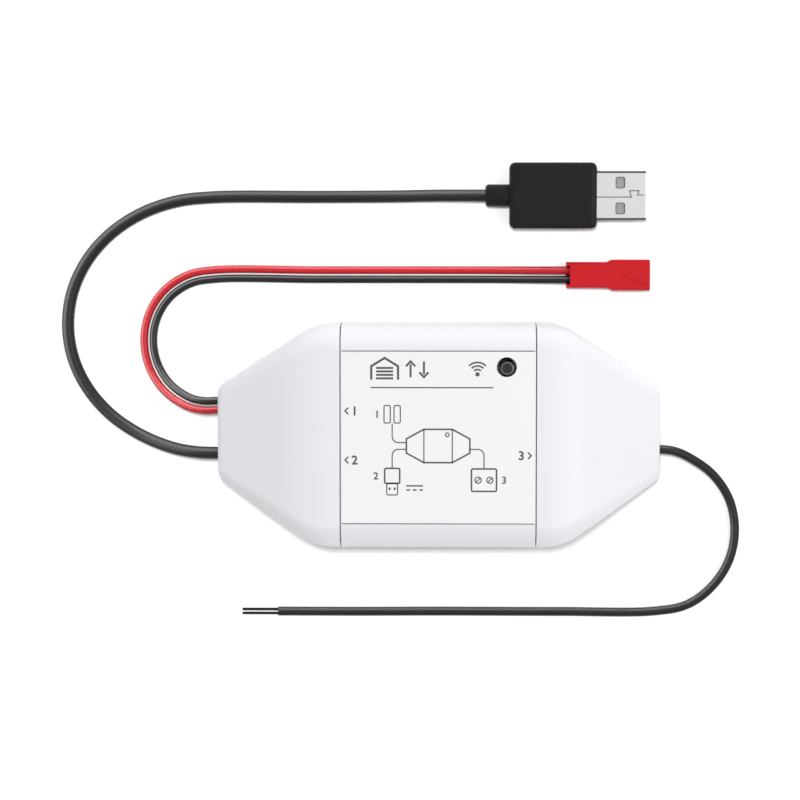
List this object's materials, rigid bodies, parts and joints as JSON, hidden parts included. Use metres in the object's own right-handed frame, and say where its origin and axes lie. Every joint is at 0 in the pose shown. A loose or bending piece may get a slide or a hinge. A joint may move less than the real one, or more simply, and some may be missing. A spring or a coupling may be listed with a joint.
{
  "type": "garage door controller",
  "caption": "Flat white housing with tapered end caps and a recessed push button, which switches a garage door opener over a radio link; it has a power cord, a sensor lead and a signal cord.",
  "frame": {"origin": "centre of the housing's flat back", "axes": "+X along the housing towards the signal cord, +Z out of the labelled face, +Y towards the long side nearest to the button"},
  "size_m": [0.1679, 0.1125, 0.026],
  "materials": {
    "housing_white": "fine satin moulding",
    "label_white": "satin printed film",
    "screw_steel": "zinc plated",
    "board_green": "solder mask",
    "switch_black": "moulded",
    "plate_steel": "tin plated sheet",
    "button_black": "moulded",
    "radio_blue": "solder mask",
    "relay_case": "moulded",
    "capacitor_sleeve": "shrunk sleeve",
    "chip_black": "moulded",
    "clamp_white": "moulded",
    "core_red": "insulation",
    "core_black": "insulation",
    "cord_black": "satin jacket",
    "grip_black": "satin overmould",
    "shell_metal": "nickel plated sheet",
    "insert_white": "moulded",
    "contact_gold": "gold flash",
    "wire_red": "insulation",
    "wire_black": "insulation",
    "plug_red": "moulded nylon"
  },
  "bodies": {
    "housing": {"base_shell": "housing_white", "centre_cover": "housing_white", "left_end_cap": "housing_white", "right_end_cap": "housing_white", "face_label": "label_white", "cap_screws": "screw_steel", "circuit_board": "board_green", "board_screws": "screw_steel", "switch_body": "switch_black", "switch_plate": "plate_steel", "switch_legs": "plate_steel", "radio_board": "radio_blue", "radio_shield": "plate_steel", "relay": "relay_case", "capacitors": "capacitor_sleeve", "voltage_regulator": "chip_black", "relay_driver": "chip_black", "left_cord_clamp": "clamp_white", "right_cord_clamp": "clamp_white", "clamp_screws": "screw_steel", "power_cores": "core_red", "signal_board_cores": "core_black", "power_cord": "cord_black", "plug_grip": "grip_black", "plug_shell": "shell_metal", "plug_insert": "insert_white", "plug_contacts": "contact_gold", "sensor_wire_red": "wire_red", "sensor_wire_black": "wire_black", "sensor_plug": "plug_red", "sensor_pins": "contact_gold", "signal_cord": "cord_black", "signal_cores": "core_black"},
    "button": {"push_button": "button_black"}
  },
  "joints": [
    {"name": "button_press", "type": "slide", "parent": "housing", "child": "button", "axis": [0, 0, -1], "range_m": [0, 0.0003], "stiffness_N_per_m": 3000}
  ]
}
